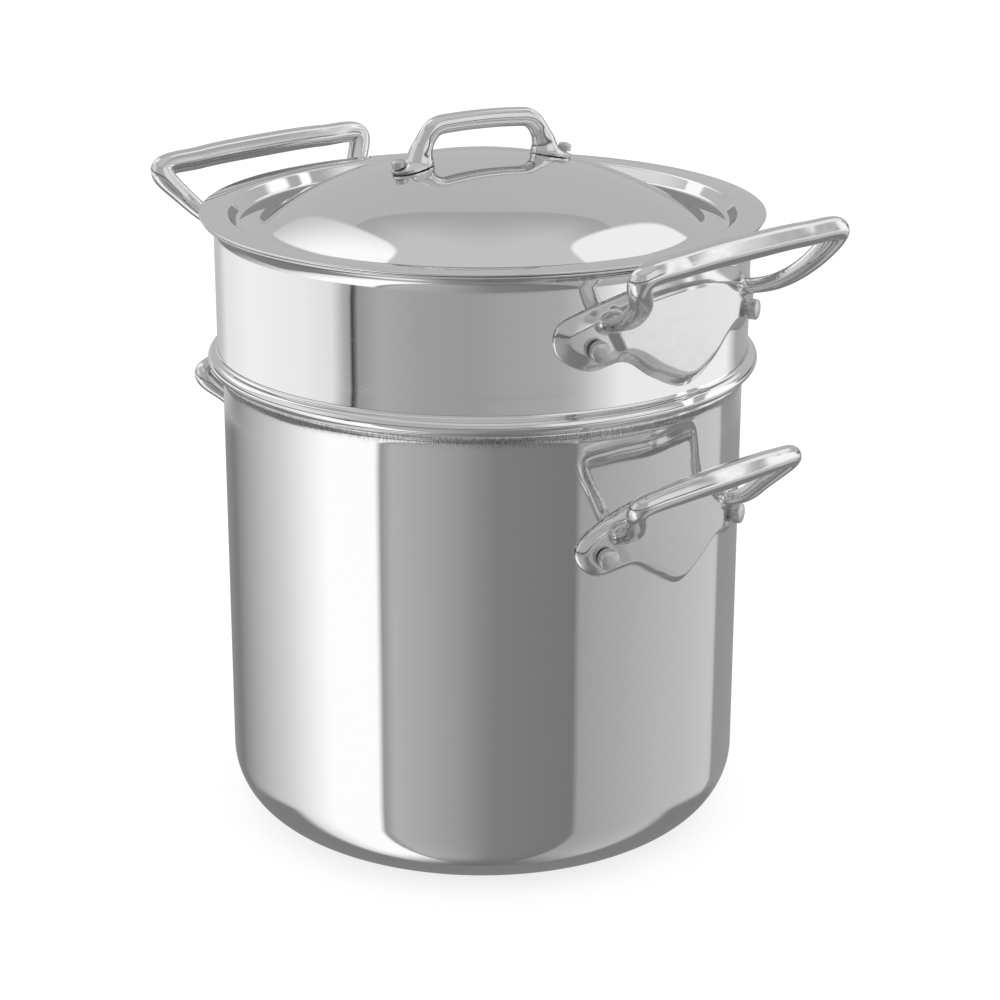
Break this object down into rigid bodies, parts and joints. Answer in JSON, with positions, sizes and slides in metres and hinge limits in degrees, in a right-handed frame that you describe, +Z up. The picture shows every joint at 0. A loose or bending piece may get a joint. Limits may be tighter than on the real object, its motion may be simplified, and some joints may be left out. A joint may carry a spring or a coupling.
{
  "type": "pasta pot",
  "caption": "Tall polished steel pasta pot with a perforated insert that hangs on its rim, a domed lid, and riveted cast loop handles on pot, insert and lid.",
  "frame": {"origin": "middle of the flat underside of the pot, on the pot's axis", "axes": "+Z up along the axis of pot, insert and lid; +X towards the right side handles; +Y completes the frame"},
  "size_m": [0.3244, 0.2622, 0.34],
  "materials": {
    "polished_steel": "mirror polished drawn stainless steel, with a fine brushed band under the lip of the pot",
    "cast_steel": "polished cast stainless steel",
    "rivet_steel": "satin stainless steel"
  },
  "bodies": {
    "pot": {"pot_body": "polished_steel", "pot_handle_right": "cast_steel", "pot_rivet_right_1": "rivet_steel", "pot_rivet_right_2": "rivet_steel", "pot_handle_left": "cast_steel", "pot_rivet_left_1": "rivet_steel", "pot_rivet_left_2": "rivet_steel"},
    "insert": {"insert_body": "polished_steel", "insert_handle_right": "cast_steel", "insert_rivet_right_1": "rivet_steel", "insert_rivet_right_2": "rivet_steel", "insert_handle_left": "cast_steel", "insert_rivet_left_1": "rivet_steel", "insert_rivet_left_2": "rivet_steel"},
    "lid": {"lid_body": "polished_steel", "lid_handle": "cast_steel", "lid_rivet_1": "rivet_steel", "lid_rivet_2": "rivet_steel"}
  },
  "joints": [
    {"name": "insert_lift", "type": "slide", "parent": "pot", "child": "insert", "axis": [0, 0, 1], "range_m": [0, 0.21]},
    {"name": "lid_lift", "type": "slide", "parent": "insert", "child": "lid", "axis": [0, 0, 1], "range_m": [0, 0.12]}
  ]
}
